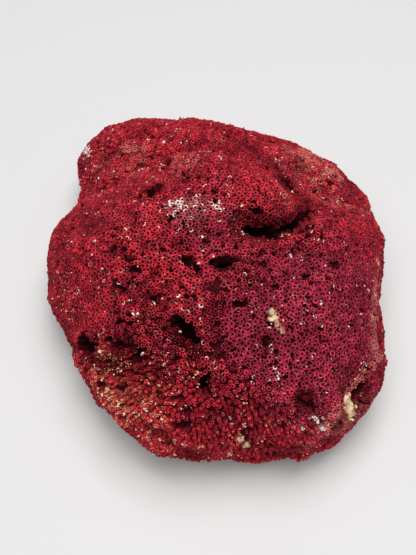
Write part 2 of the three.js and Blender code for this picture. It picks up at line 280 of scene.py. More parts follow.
# Grains, flakes and chips: length, width and height are random shares of the size
GRAIN_CORNERS, GRAIN_EDGE = 12, 1.06
GRAIN_SPANS = ((0.8, 1.5), (0.6, 1.1), (0.35, 0.75))
GRAIN_SPREAD, CRUST_GRAIN_SPREAD = (-0.5, 0.45), (0.2, 0.4)  # of the logarithm of the size
GRAIN_OUT, GRAIN_TILT, GRAIN_HIGH = (0.2, 0.5), 0.35, 0.9
GRAIN_USUAL, CHALK_WORN, CHALK_STAINED = 0.018, 0.4, 0.72
FLAKE_BITS = (0.65, 0.45, 0.3)  # sizes of a flake's bits against its width
FLAKE_SPANS = ((0.9, 1.3), (0.6, 1.0), (0.3, 0.5))
GRAIN_JAGGED, FLAKE_JAGGED = 0.5, 0.6  # how far corners stray from the round form
CHIP_CORNERS = ((1, 1, 1), (1, -1, -1), (-1, 1, -1), (-1, -1, 1))
CHIP_FACES = ((0, 1, 2), (0, 2, 3), (0, 3, 1), (1, 3, 2))
CHIP_SPANS = ((0.7, 1.3), (0.3, 0.7), (0.2, 0.4))
CHIP_SPREAD, CHIP_OUT, CHIP_FLUSH = (0, 0.4), (0.42, 0.62), 0.25

# Crusts that lie on the mouths
CRUST_RINGS, CRUST_SIDES, CRUST_RAGGED = 5, 16, 0.35
CRUST_BED = 4  # pipes whose mouths carry a point of a crust
CRUST_THICK, CRUST_LUMPS = 0.6 * MM, (0.4, 1.3)
CRUST_EDGE, CRUST_ROOT = 0.9 * MM, 2.5 * MM  # the edge sinks in between the mouths

# Stage, in metres
FLOOR_HALF, CLIP_START = 3.0, 0.01
KEY_SIZE, KEY_PLACE = 0.6, (0.1, 0.12, 1.1)
FILL_SIZE, FILL_PLACE = 0.8, (-0.08, -0.32, 1.18)
WHITE = (1.0, 1.0, 1.0, 1.0)


def length_setting(name, description, size):
    """A setting for a length in millimetres."""
    return FloatProperty(name=name, description=description, default=size * MM, unit="LENGTH")


def power_setting(name, description, power):
    """A setting for a light's power in watts."""
    return FloatProperty(name=name, description=description, default=power, unit="POWER")


def colour_setting(name, description, *channels):
    """A setting for a solid colour."""
    default = (*channels, 1.0)
    return FloatVectorProperty(
        name=name, description=description, default=default, subtype="COLOR", size=len(default)
    )


def count_setting(name, description, default, **limits):
    """A setting for a whole number."""
    return IntProperty(name=name, description=description, default=default, **limits)


class PipeSettings(bpy.types.PropertyGroup):
    """Sizes of the pipes and of the platforms between them"""

    spacing: length_setting("Spacing", "Least distance between the middles of two pipes", 1.52)
    width: length_setting("Width", "Outer diameter of a pipe", 1.80)
    bore: length_setting("Bore", "Inner diameter of a pipe at its mouth", 1.26)
    bore_depth: length_setting("Bore depth", "How deep the open end of a pipe is", 3.2)
    root: length_setting("Root", "How far a pipe reaches down into the skeleton", 7.0)
    clearance: length_setting("Clearance", "How far the core lies below the mouths of the pipes", 4.0)
    flush_step: length_setting("Flush step", "Height of a mouth over a platform it is flush with", 0.1)
    open_step: length_setting("Open step", "Height of a mouth over the platform if it stands free", 1.7)
    sides: count_setting("Sides", "Flat sides that make one round pipe", 7, min=5, max=12)
    seed: count_setting("Seed", "Start of the random places", 11)


class ColourSettings(bpy.types.PropertyGroup):
    """Colours of the coral and of what lies on it"""

    wall: colour_setting("Pipe wall", "Red of a pipe's side", 0.58, 0.018, 0.042)
    bright_wall: colour_setting("Bright wall", "Softer red of the brightest pipes", 0.90, 0.042, 0.066)
    # Partly painted highlight: the rims' lighter red stands for light on the rims as well as wear
    rim: colour_setting("Rim", "Lighter red of a pipe's worn mouth", 0.86, 0.21, 0.20)
    platform: colour_setting("Platform", "Rose of the platforms between the pipes", 0.38, 0.025, 0.057)
    # The bore colour is painted shade: pipes turn to it down their bores and at the pits' edges
    bore: colour_setting("Bore", "Dark red inside a pipe", 0.026, 0.003, 0.005)
    broken: colour_setting("Broken rim", "Pale orange of a freshly broken rim", 0.92, 0.56, 0.38)
    sandy_red: colour_setting("Sandy red", "Orange of pipes that sand has coated", 0.84, 0.10, 0.045)
    # Partly painted shade: the core's deep red is much darker than the walls, and the walls darken to it
    # down between the pipes
    core: colour_setting("Core", "Deep red of the skeleton between the pipes", 0.045, 0.004, 0.008)
    # Partly painted highlight: this salmon marks real bleaching and also lights lump tops and the brow's
    # rim
    bleached: colour_setting("Bleached", "Salmon of edges and ridges bleached by light", 0.68, 0.19, 0.16)
    dust: colour_setting("Dust", "Pale pink of worn and dusty places", 0.66, 0.28, 0.30)
    sand: colour_setting("Sand", "Cream of the sand and crusts", 0.95, 0.70, 0.42)
    crust: colour_setting("Crust", "Khaki of pipes that a crust has closed", 0.50, 0.38, 0.24)
    tan: colour_setting("Tan", "Brown of stained sand grains", 0.60, 0.25, 0.12)
    chalk: colour_setting("Chalk", "White of shell and chalk chips", 1.0, 0.95, 0.88)


class GritSettings(bpy.types.PropertyGroup):
    """Sizes and numbers of the loose grains that stick to the coral"""

    grain: length_setting("Grain", "Usual width of a grain", 0.78)
    chip: length_setting("Chip", "Usual length of a chip of a broken pipe wall", 1.1)
    chip_count: count_setting("Wall chips", "Chips of broken pipe walls all over", 12000)
    chalk_count: count_setting("Chalk chips", "White chips scattered all over", 140)
    sand_count: count_setting("Sand grains", "Cream grains all over and on the sandy flank", 950)
    seed: count_setting("Seed", "Start of the random places", 5)


class StageSettings(bpy.types.PropertyGroup):
    """Floor, light and camera"""

    floor: colour_setting("Floor", "Pale floor", 0.75, 0.745, 0.745)
    key_power: power_setting("Key light", "Power of the soft light above and behind", 6.7)
    fill_power: power_setting("Fill light", "Power of the wide light in front", 7.5)
    sky: FloatProperty(name="Sky", description="Strength of the even light from all round", default=0.22)
    elevation: FloatProperty(
        name="Elevation",
        description="Height of the camera over the horizon",
        default=math.radians(60),
        subtype="ANGLE",
    )
    distance: length_setting("Distance", "From the camera to its target", 385)
    target: FloatVectorProperty(
        name="Target",
        description="Point that the camera looks at",
        default=(-4 * MM, -3.1 * MM, 30 * MM),
        subtype="TRANSLATION",
    )
    lens: FloatProperty(name="Lens", description="Focal length on a 36 mm sensor", default=55.0)


def numbers(items, name, width, kind=float):
    """One property of many mesh elements as an array with a row for each."""
    values = np.empty(len(items) * width, kind)
    items.foreach_get(name, values)
    return values.reshape(-1, width)


def unit(vectors):
    """The vectors with length one."""
    return vectors / np.maximum(np.linalg.norm(vectors, axis=-1, keepdims=True), 1e-12)


def lattice(cells, seed):
    """A number from 0 to 1 for each whole cell, always the same one."""
    mixed = np.sin(cells @ np.array(HASH_STEPS) + seed) * HASH_SCALE
    return mixed - np.floor(mixed)


def swell(places, wave, seed):
    """Smooth random value from -1 to 1, with crests about one wave apart."""
    scaled = places / wave
    corner = np.floor(scaled)
    part = scaled - corner
    ease = part * part * (3 - 2 * part)
    total = np.zeros(len(places))
    for step in itertools.product((0, 1), repeat=3):
        weight = np.prod(np.abs(1 - np.array(step) - ease), axis=1)
        total += weight * lattice(corner + step, seed)
    return 2 * total - 1


def relief_of(places, waves):
    """The sum of the waves at each place."""
    return sum(height * swell(places, wave * MM, seed) for height, wave, seed in waves)


def remade(step, smoothing):
    """The colony's surface as an even mesh with edges of about the step, and a tree for rays."""
    form = bpy.data.objects.new("skin_form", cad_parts[COLONY].data.copy())
    bpy.context.scene.collection.objects.link(form)
    even = form.modifiers.new("Even", "REMESH")
    even.mode = "VOXEL"
    even.voxel_size = step
    soften = form.modifiers.new("Soften", "SMOOTH")
    soften.iterations = smoothing
    made = form.evaluated_get(bpy.context.evaluated_depsgraph_get()).to_mesh()
    made.calc_loop_triangles()
    places = numbers(made.vertices, "co", 3)
    facing = numbers(made.vertex_normals, "vector", 3)
    corners = numbers(made.loop_triangles, "vertices", 3, np.int32)
    bpy.data.objects.remove(form)
    tree = BVHTree.FromPolygons(places.tolist(), corners.tolist())
    return SimpleNamespace(places=places, facing=facing, corners=corners, tree=tree)


@functools.cache
def skin():
    """The surface that the mouths of the pipes lie in."""
    return remade(SKIN_STEP, SKIN_SMOOTHING)


@functools.cache
def broad_form():
    """The surface with its pits and clefts filled in."""
    return remade(BROAD_STEP, BROAD_SMOOTHING)


def nearest_on(form, places):
    """The nearest places on a form, and the form's directions there."""
    hits = [form.tree.find_nearest(Vector(place)) for place in places]
    return np.array([hit[0] for hit in hits]), np.array([hit[1] for hit in hits])


def growth(places):
    """The way that the pipes grow at each place, and how far it stands out of the broad form."""
    middles, ways = nearest_on(broad_form(), places)
    return ways, ((places - middles) * ways).sum(1)


def photo_camera():
    """The photo camera's place, its right, up and back directions, and its focal length in pixels."""
    stage = bpy.context.scene.coral_stage
    back = np.array((0.0, -math.cos(stage.elevation), math.sin(stage.elevation)))
    right = np.array((1.0, 0.0, 0.0))
    eye = np.array(stage.target) + back * stage.distance
    return eye, right, np.cross(back, right), back, PHOTO_HIGH * stage.lens / SENSOR


def seen_at(x, y):
    """The point of the skin that a pixel of the photo shows."""
    eye, right, up, back, focal = photo_camera()
    ray = right * (x - PHOTO_WIDE / 2) / focal + up * (PHOTO_HIGH / 2 - y) / focal - back
    hit = skin().tree.ray_cast(Vector(eye), Vector(ray))
    if hit[0] is None:
        raise RuntimeError(f"pixel {x},{y} doesn't show the coral")
    return np.array(hit[0])


def pixels_of(places):
    """Where each place appears in the photo."""
    eye, right, up, back, focal = photo_camera()
    away = places - eye
    far = -(away @ back)
    return PHOTO_WIDE / 2 + focal * (away @ right) / far, PHOTO_HIGH / 2 - focal * (away @ up) / far


def gap_depth(places):
    """How deep each place lies in the gaps that the photo shows: 1 in a middle, below 0 outside."""
    x, y = pixels_of(places)
    ragged = 1 + GAP_RAGGED * swell(places, GAP_WAVE, GAP_SEED)
    deepest = np.full(len(places), -1.0)
    for middle_x, middle_y, half_long, half_wide, turn in GAPS:
        angle = math.radians(turn)
        along = (x - middle_x) * math.cos(angle) - (y - middle_y) * math.sin(angle)
        aside = (x - middle_x) * math.sin(angle) + (y - middle_y) * math.cos(angle)
        near = np.linalg.norm(places - seen_at(middle_x, middle_y), axis=1) < GAP_REACH
        depth = 1 - ((along / half_long) ** 2 + (aside / half_wide) ** 2) / ragged
        deepest = np.maximum(deepest, np.where(near, depth, -1))
    return deepest


def patchwork(places, patches):
    """How strongly each place lies in the patches."""
    total = np.zeros(len(places))
    for x, y, reach, strength in patches:
        away = np.linalg.norm(places - seen_at(x, y), axis=1)
        total += strength * np.exp(-((away / (reach * MM)) ** 2))
    return total


def on_base(places, facing):
    """Which places belong to the flat cut base."""
    return (places[:, 2] < BASE_HEIGHT) & (facing[:, 2] < BASE_FACING)


def scattered(count, random):
    """Random places all over the skin, and the skin's directions there."""
    form = skin()
    a, b, c = (form.places[form.corners[:, k]] for k in range(3))
    area = np.linalg.norm(np.cross(b - a, c - a), axis=1)
    chosen = random.choice(len(area), count, p=area / area.sum())
    share = random.dirichlet((1, 1, 1), count)[:, :, None]
    corners = form.corners[chosen]
    places = (form.places[corners] * share).sum(1)
    facing = unit((form.facing[corners] * share).sum(1))
    return places, facing


def tree_of(places):
    """A tree that finds the nearest of the places."""
    tree = KDTree(len(places))
    for index, place in enumerate(places):
        tree.insert(place, index)
    tree.balance()
    return tree


def spaced(places, gap):
    """Indices of places taken in order, none closer to an earlier one than the gap."""
    tree = tree_of(places)
    free = np.ones(len(places), bool)
    taken = []
    for index, place in enumerate(places):
        if free[index]:
            taken.append(index)
            free[[found[1] for found in tree.find_range(place, gap)]] = False
    return np.array(taken)


def evened(chosen, crowd):
    """The chosen places, each moved to the middle of the crowd that is nearest to it."""
    for _ in range(EVENING):
        tree = tree_of(chosen)
        owner = np.array([tree.find(place)[1] for place in crowd])
        total = chosen.copy()
        np.add.at(total, owner, crowd)
        chosen = total / (1 + np.bincount(owner, minlength=len(chosen)))[:, None]
    return chosen


def neighbours(places, count):
    """Indices of the nearest other places, a row for each place."""
    tree = tree_of(places)
    return np.array([[found[1] for found in tree.find_n(place, count + 1)[1:]] for place in places])


def free_way(start, ways, reach):
    """How far each ray goes until it meets the skin, up to the reach."""
    tree = skin().tree
    hits = (tree.ray_cast(Vector(place), Vector(way), reach) for place, way in zip(start, ways))
    return np.array([reach if hit[3] is None else hit[3] for hit in hits])


def room_above(places, facing, reach):
    """The free distance over each place, up to the reach."""
    return free_way(places + facing * ROOM_LIFT, facing, reach)


def shelter(places, facing, random):
    """How much of the sky over each place the coral itself covers, from 0 to 1."""
    start = places + facing * SKY_LIFT
    covered = np.zeros(len(places))
    for way in unit(random.normal(size=(SKY_RAYS, 3))):
        covered += 1 - free_way(start, unit(facing + SKY_WIDE * way), SKY_REACH) / SKY_REACH
    return covered / SKY_RAYS


def across(axes):
    """Two directions square to each axis and to each other."""
    helper = np.where(np.abs(axes[:, 2:]) < STEEP, (0.0, 0.0, 1.0), (1.0, 0.0, 0.0))
    first = unit(np.cross(helper, axes))
    return first, np.cross(axes, first)


def round_about(first, second, turns, radius):
    """Offsets from an axis at the turns and the radius."""
    return first * (radius * np.cos(turns))[..., None] + second * (radius * np.sin(turns))[..., None]


def copies(faces, count, corners):
    """The faces of one form, repeated for each of many copies that follow each other."""
    offset = (np.arange(count) * corners)[:, None, None]
    return (faces + offset).reshape(-1, faces.shape[1])


def new_piece(name, places, faces, finish, spots=None, values=None, smooth_angle=None):
    """A mesh piece from arrays, riding on the colony's body in place of its solid."""
    mesh = bpy.data.meshes.new(name)
    sizes = np.concatenate([np.full(len(group), group.shape[1]) for group in faces])
    loops = np.concatenate([group.ravel() for group in faces])
    mesh.vertices.add(len(places))
    mesh.vertices.foreach_set("co", places.astype(np.float32).ravel())
    mesh.loops.add(len(loops))
    mesh.loops.foreach_set("vertex_index", loops.astype(np.int32))
    mesh.polygons.add(len(sizes))
    starts = np.concatenate(([0], np.cumsum(sizes)[:-1]))
    mesh.polygons.foreach_set("loop_start", starts.astype(np.int32))
    mesh.update(calc_edges=True)
    if spots is not None:
        layer = mesh.uv_layers.new(name="OFBake")
        layer.data.foreach_set("uv", spots.astype(np.float32).ravel())
    for key, value in (values or {}).items():
        attribute = mesh.attributes.new(key, "FLOAT", "POINT")
        attribute.data.foreach_set("value", value.astype(np.float32).ravel())
    if smooth_angle is not None:
        mesh.shade_smooth()
        mesh.set_sharp_from_angle(angle=smooth_angle)
    mesh.materials.append(finish)
    piece = bpy.data.objects.new(name, mesh)
    bpy.context.scene.collection.objects.link(piece)
    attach(piece, BODY)
    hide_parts(COLONY)
    return piece


class Value:
    """A shader socket that sums can be written with."""

    def __init__(self, finish, socket):
        self.finish = finish
        self.socket = socket

    def maths(self, operation, first, second):
        settings = {"operation": operation}
        return self.finish.node("ShaderNodeMath", settings, {0: first, 1: second})

    def __add__(self, other):
        return self.maths("ADD", self, other)

    def __radd__(self, other):
        return self.maths("ADD", other, self)

    def __sub__(self, other):
        return self.maths("SUBTRACT", self, other)

    def __rsub__(self, other):
        return self.maths("SUBTRACT", other, self)

    def __mul__(self, other):
        return self.maths("MULTIPLY", self, other)

    def __rmul__(self, other):
        return self.maths("MULTIPLY", other, self)


class Finish:
    """A material whose nodes come from node() and from sums of its values."""

    MIX_SHARE, MIX_BELOW, MIX_ABOVE, MIX_COLOUR = 0, 6, 7, 2

    def __init__(self, name, **constants):
        self.material = bpy.data.materials.new(name)
        self.material.use_nodes = True
        self.tree = self.material.node_tree
        self.shader = self.tree.nodes["Principled BSDF"]
        self.surface(**constants)

    def feed(self, socket, value):
        if isinstance(value, Value):
            self.tree.links.new(value.socket, socket)
        else:
            socket.default_value = value

    def node(self, kind, settings=None, inputs=None, output=0):
        made = self.tree.nodes.new(kind)
        for name, value in (settings or {}).items():
            setattr(made, name, value)
        for socket, value in (inputs or {}).items():
            self.feed(made.inputs[socket], value)
        return Value(self, made.outputs[output])

    def blend(self, share, below, above):
        inputs = {self.MIX_SHARE: share, self.MIX_BELOW: below, self.MIX_ABOVE: above}
        return self.node("ShaderNodeMix", {"data_type": "RGBA"}, inputs, self.MIX_COLOUR)

    def stored(self, name):
        return self.node("ShaderNodeAttribute", {"attribute_name": name}, output="Fac")

    def noise(self, size, detail):
        """Random value around a half, with spots of about the size in millimetres."""
        place = self.node("ShaderNodeTexCoord", output="Object")
        inputs = {"Vector": place, "Scale": 1 / (size * MM), "Detail": detail}
        return self.node("ShaderNodeTexNoise", inputs=inputs, output="Fac")

    def band(self, value, low, high):
        """From 0 at the low value to 1 at the high one, with soft ends."""
        inputs = {"Value": value, "From Min": low, "From Max": high}
        return self.node("ShaderNodeMapRange", {"interpolation_type": "SMOOTHSTEP"}, inputs)

    def coated(self, colour, coats):
        """The colour under coats of a tone, a mask, the mask's low and high value, and a share."""
        for tone, mask, low, high, share in coats:
            colour = self.blend(self.band(mask, low, high) * share, colour, tone)
        return colour

    def bump(self, height, distance, strength):
        inputs = {"Height": height, "Distance": distance * MM, "Strength": strength}
        return self.node("ShaderNodeBump", inputs=inputs)

    def surface(self, **values):
        for socket, value in values.items():
            self.feed(self.shader.inputs[socket.replace("_", " ")], value)
        return self.material


def shaded(colour, factor):
    """A colour made lighter or darker by a factor."""
    return (*(channel * factor for channel in colour[:3]), 1.0)


def pipe_finish(colours):
    """Red pipe walls with paler rims from wear and painted highlight, rose platforms, dust and sand, and
    painted shade in the bores and down between the pipes.
    """
    finish = Finish("coral_pipes", Specular_IOR_Level=0.06)
    depth, bore, chip, frost = map(finish.stored, ("depth", "bore", "chip", "frost"))
    tint, rose, sand, worn, crust, pale, shade, bleach_and_highlight, pit, peg = map(finish.stored, PIPE_LOOKS)
    fine, arcs, broad = finish.noise(0.9, 3.0), finish.noise(0.6, 2.0), finish.noise(8, 3.0)
    stain, mottle, specks_and_glints = finish.noise(0.9, 4.0), finish.noise(2.6, 4.0), finish.noise(0.55, 1.0)
    red = finish.blend(tint, shaded(colours.wall, 0.5), colours.bright_wall)
    rosy = finish.blend(tint, shaded(colours.platform, 0.5), shaded(colours.platform, 1.8))
    body = finish.blend(finish.band(rose + 0.6 * broad, 0.3, 1.2), red, rosy)
    white = finish.blend(tint, colours.broken, colours.chalk)
    tip = finish.band(depth, 0.035, 0.0)
    caked = crust * (0.3 + 1.3 * fine)
    closed = finish.band(caked, 0.25, 0.8)
    dusty = worn * (0.3 + 1.1 * fine + 0.5 * pale)
    flecked = sand * (0.2 + 1.2 * arcs + 0.3 * pale)
    coats = (
        # rims: worn, with painted highlight
        (colours.rim, pale + 1.2 * arcs, 0.7, 1.2, tip),
        (shaded(colours.wall, 0.25), stain, 0.56, 0.40, 0.75),
        (shaded(colours.platform, 0.5), mottle, 0.56, 0.34, 0.6 + 0.35 * rose),
        (colours.broken, chip * (0.4 + fine), 0.3, 0.8, 0.75),
        # bleached salmon, with painted highlight on lump tops and the brow's rim
        (colours.bleached, bleach_and_highlight * (0.5 + fine), 0.25, 1.0, 0.75),
        (colours.dust, dusty, 0.45, 1.15, 0.28 + 0.42 * tip),
        (colours.sandy_red, sand * (0.1 + fine + 0.7 * tint), 0.3, 1.1, 0.36),
        (shaded(colours.sand, 0.9), flecked, 0.66, 0.88, 0.14 + 0.56 * tip),
        # pale specks: sand specks and painted glints on the rims
        (colours.broken, specks_and_glints, 0.63, 0.70, (0.3 + 0.7 * tip) * (0.2 + 0.6 * sand + 0.3 * worn)),
        (white, frost * (0.3 + 1.4 * arcs), 0.3, 0.7, 0.85),
        (colours.crust, caked, 0.25, 0.8, 0.85),
        # painted shade, the last four coats: darker under covered sky, down between the pipes, at the
        # pits' edges and in the bores
        (shaded(colours.wall, 0.2), shade, 0.0, 1.0, 0.85),
        (colours.core, depth, 0.04, 0.26, 0.82 - 0.2 * peg - 0.2 * sand),
        (shaded(colours.bore, 0.5), depth, 0.06, 0.22, pit),
        (colours.bore, bore, 0.05, 0.35, 1 - 0.9 * closed),
    )
    return finish.surface(
        Base_Color=finish.coated(body, coats),
        Roughness=0.5 + 0.25 * finish.band(fine, 0.0, 1.0),
        Normal=finish.bump(fine, 0.25, 0.7),
    )


def core_finish(colours):
    """Deep red skeleton between the pipes, streaked and pitted, painted black in the pits and where
    little room lies above, as painted shade.
    """
    finish = Finish("coral_core", Specular_IOR_Level=0.05)
    fine, broad = finish.noise(1.1, 4.0), finish.noise(7, 3.0)
    red = finish.blend(broad, shaded(colours.core, 0.5), shaded(colours.core, 1.5))
    red = finish.coated(red, [(shaded(colours.wall, 0.3), fine, 0.5, 0.75, 0.5)])
    return finish.surface(
        Base_Color=finish.blend(finish.stored("hollow"), red, shaded(colours.bore, 0.5)),
        Roughness=0.6 + 0.3 * fine,
        Normal=finish.bump(fine, 0.5, 0.9),
    )


def chip_finish(colours):
    """Broken bits of pipe wall, red with some paler ones."""
    finish = Finish("wall_chips", Specular_IOR_Level=0.06)
    tint = finish.stored("tint")
    red = finish.blend(tint, shaded(colours.wall, 0.35), shaded(colours.wall, 1.4))
    paler = ((colours.rim, tint, 0.8, 0.95, 0.8), (colours.broken, tint, 0.95, 0.99, 0.8))
    return finish.surface(
        Base_Color=finish.coated(red, paler),
        Roughness=0.5 + 0.25 * finish.noise(0.9, 3.0),
    )


def grain_finish(name, colour, stained):
    """Matte mineral grains, from stained ones to clean ones."""
    finish = Finish(name, Specular_IOR_Level=0.2)
    fine = finish.noise(0.5, 3.0)
    tone = finish.blend(finish.band(finish.stored("tint"), 0.0, 0.8), stained, colour)
    return finish.surface(
        Base_Color=finish.blend(fine * 0.25, tone, shaded(colour, 0.5)),
        Roughness=0.45 + 0.35 * fine,
        Normal=finish.bump(fine, 0.1, 0.5),
    )


def floor_finish(stage):
    """Plain pale matte floor."""
    finish = Finish("pale_floor", Specular_IOR_Level=0.15)
    cloud = finish.noise(120, 2.0)
    return finish.surface(
        Base_Color=finish.blend(cloud * 0.5, stage.floor, shaded(stage.floor, 0.96)),
        Roughness=0.6 + 0.1 * cloud,
    )


def collar_reach(first, second, places, turns, limit):
    """How far a pipe's platform reaches to each side, half way to its neighbours."""
    apart = places[neighbours(places, COLLAR_NEAR)] - places[:, None]
    flat = np.stack([np.einsum("nkc,nc->nk", apart, way) for way in (first, second)], -1)
    along = flat @ np.stack((np.cos(turns), np.sin(turns)), 1)
    far = (flat**2).sum(-1)[:, :, None] / (2 * np.maximum(along, 1e-9))
    far[along < 1e-6] = np.inf
    return np.minimum(far.min(1), limit)


def pipe_rings(pipes, settings, random):
    """The rings of every pipe: root, platform edge, crest of the rim, mouth of the bore."""
    count, sides = pipes.turns.shape
    one, each = (count, 1), (count, sides)
    loose, peg = 1 - pipes.flush[:, None], pipes.peg[:, None]
    broken_side = random.uniform(0, FULL_TURN, one)
    broken = random.random(one) < BROKEN_FLUSH + BROKEN_LOOSE * loose
    broken = np.where(broken, random.uniform(*BREAK_DEPTH, one), SOUND_DEPTH)
    notch = broken * MM * np.maximum(0, np.cos(pipes.turns - broken_side)) ** 2
    notch = notch + random.uniform(*CHIP_DEPTH, each) * MM
    outer = settings.width / 2 * random.normal(1, WIDTH_SPREAD, one).clip(*WIDTH_LIMITS)
    outer = outer * (1 - WIDTH_LOOSE * loose - WIDTH_PEG * peg) * random.uniform(*WIDTH_RAGGED, each)
    outer = np.minimum(outer, np.maximum(pipes.collar, LEAST_RADIUS))
    inner = settings.bore / 2 * random.normal(1, BORE_SPREAD, one).clip(*BORE_LIMITS)
    inner = inner * (1 - BORE_PEG * peg) * random.uniform(*BORE_RAGGED, each)
    inner = np.minimum(inner, BORE_MOST * outer)
    foot = np.maximum(pipes.step[:, None], notch + PLATFORM_DROP)
    foot = foot + random.uniform(*PLATFORM_UNEVEN, each) * MM
    gap = random.random(each) < OPEN_FLUSH + OPEN_LOOSE * loose
    foot = foot + gap * random.uniform(*OPEN_DROP, each) * MM
    free = pipes.collar >= COLLAR_LIMIT
    edge = np.where(free, 0, COLLAR_OVERLAP * pipes.collar)
    edge = np.maximum(edge, EDGE_OUT * outer)
    foot = np.where(free, notch + FREE_DROP, foot)
    radii = (ROOT_TAPER * edge, edge, CREST * outer, inner)
    depths = (np.full(each, settings.root), foot, notch, notch + RIM_DIP)
    first, second = pipes.first[:, None], pipes.second[:, None]
    rings = [
        pipes.tips[:, None]
        - pipes.axes[:, None] * depth[..., None]
        + round_about(first, second, pipes.turns, radius)
        for radius, depth in zip(radii, depths)
    ]
    return np.stack(rings, 1), np.stack(depths, 1)


def pipe_faces(rings, sides):
    """Quads between the rings of one pipe, and the triangles of its bore."""
    side = np.arange(sides)
    turn = (side + 1) % sides
    low = sides * np.arange(rings - 1)[:, None]
    high = low + sides
    quads = np.stack((low + side, low + turn, high + turn, high + side), -1).reshape(-1, 4)
    mouth = (rings - 1) * sides
    bore = np.stack((mouth + side, mouth + turn, np.full(sides, rings * sides)), -1)
    return quads, bore


def pipe_spots(count, sides, spots):
    """Map places for the corners of the pipes' faces, a cell of the map for each pipe."""
    cells = math.ceil(math.sqrt(count))
    turns = FULL_TURN * np.arange(sides) / sides
    circle = np.stack((np.cos(turns), np.sin(turns)), -1)
    own = (np.array(spots)[:, None, None] * circle).reshape(-1, 2)
    own = np.concatenate((own, ((0.0, 0.0),))) + 0.5
    corner = np.stack((np.arange(count) % cells, np.arange(count) // cells), -1)
    kinds = pipe_faces(len(spots), sides)
    return np.concatenate([(own[k.ravel()] + corner[:, None]).reshape(-1, 2) for k in kinds]) / cells


def ground_at(places):
    """How flush, how much like pegs and how lumpy the pipes stand at each place, from 0 to 1."""
    low = ((PEG_HEIGHT - places[:, 2]) / PEG_HEIGHT).clip(0, 1)
    flush = patchwork(places, FLUSH_PATCHES) - patchwork(places, OPEN_PATCHES)
    flush = FLUSH_USUAL + FLUSH_PATCH * flush + relief_of(places, FLUSH_WAVES)
    flush = (0.5 + FLUSH_CONTRAST * (flush - 0.5) - FLUSH_LOW * low).clip(0, 1)
    peg = (patchwork(places, PEG_PATCHES) + PEG_LOW * low).clip(0, 1)
    lumpy = patchwork(places, LUMPY_PATCHES).clip(0, 1)
    return SimpleNamespace(flush=flush, loose=1 - flush, peg=peg, lumpy=lumpy)


def axes_at(places, facing, ways, ground, nearest):
    """The ways that the pipes point, evened out so that they run side by side."""
    spread = unit(places - np.array(HEART))
    pull = GROWTH_PULL + FLUSH_PULL * ground.flush[:, None]
    axes = unit(FACING_PULL * facing + pull * ways + SPREAD_PULL * spread)
    for _ in range(STEADYING):
        axes = unit(axes + axes[nearest].sum(1))
    return axes


def rise_at(places, ground, relief, random):
    """How far each mouth stands over the skin in millimetres, and which ones are sunken."""
    count = len(places)
    flush, loose, peg, lumpy = ground.flush, ground.loose, ground.peg, ground.lumpy
    rise = LUMP * relief * (LUMP_USUAL - LUMP_FLUSH * flush + LUMP_LUMPY * lumpy) - LUMP_DROP
    rise = rise + relief_of(places, RIPPLE_WAVES) * (RIPPLE_USUAL - RIPPLE_FLUSH * flush)
    rise = rise + patchwork(places, SPURS) + random.normal(0, UNEVEN, count)
    rise = rise + random.normal(0, UNEVEN_LOOSE, count) * (loose + peg)
    bare = relief_of(places, LAYER_WAVES) > LAYER_LIMIT + LAYER_FLUSH * flush
    rise = np.where(bare, rise - random.uniform(*LAYER_DROP, count), rise)
    for share, way, least, most in (STUMPS, SPIKES):
        chosen = random.random(count) < share * loose
        rise = np.where(chosen, rise + way * random.uniform(least, most, count), rise)
    crack = relief_of(places * CRACK_STRETCH, CRACK_WAVES) + relief_of(places, CRACK_FRAY)
    split = relief_of(places, SPLIT_WAVES) + SPLIT_USUAL - SPLIT_FLUSH * flush - SPLIT_LUMPY * lumpy
    rise = rise - CRACK_DIP * np.exp(-((crack / CRACK_SLOPE) ** 2)) * split.clip(0, 1)
    sunken = np.abs(crack) < CRACK_WIDE * split
    sunken |= relief_of(places, HOLE_WAVES) > HOLE_LIMIT + HOLE_FLUSH * flush
    sunken &= peg < PEG_SOUND
    return np.where(sunken, rise - random.uniform(*HOLE_DROP, count), rise), sunken


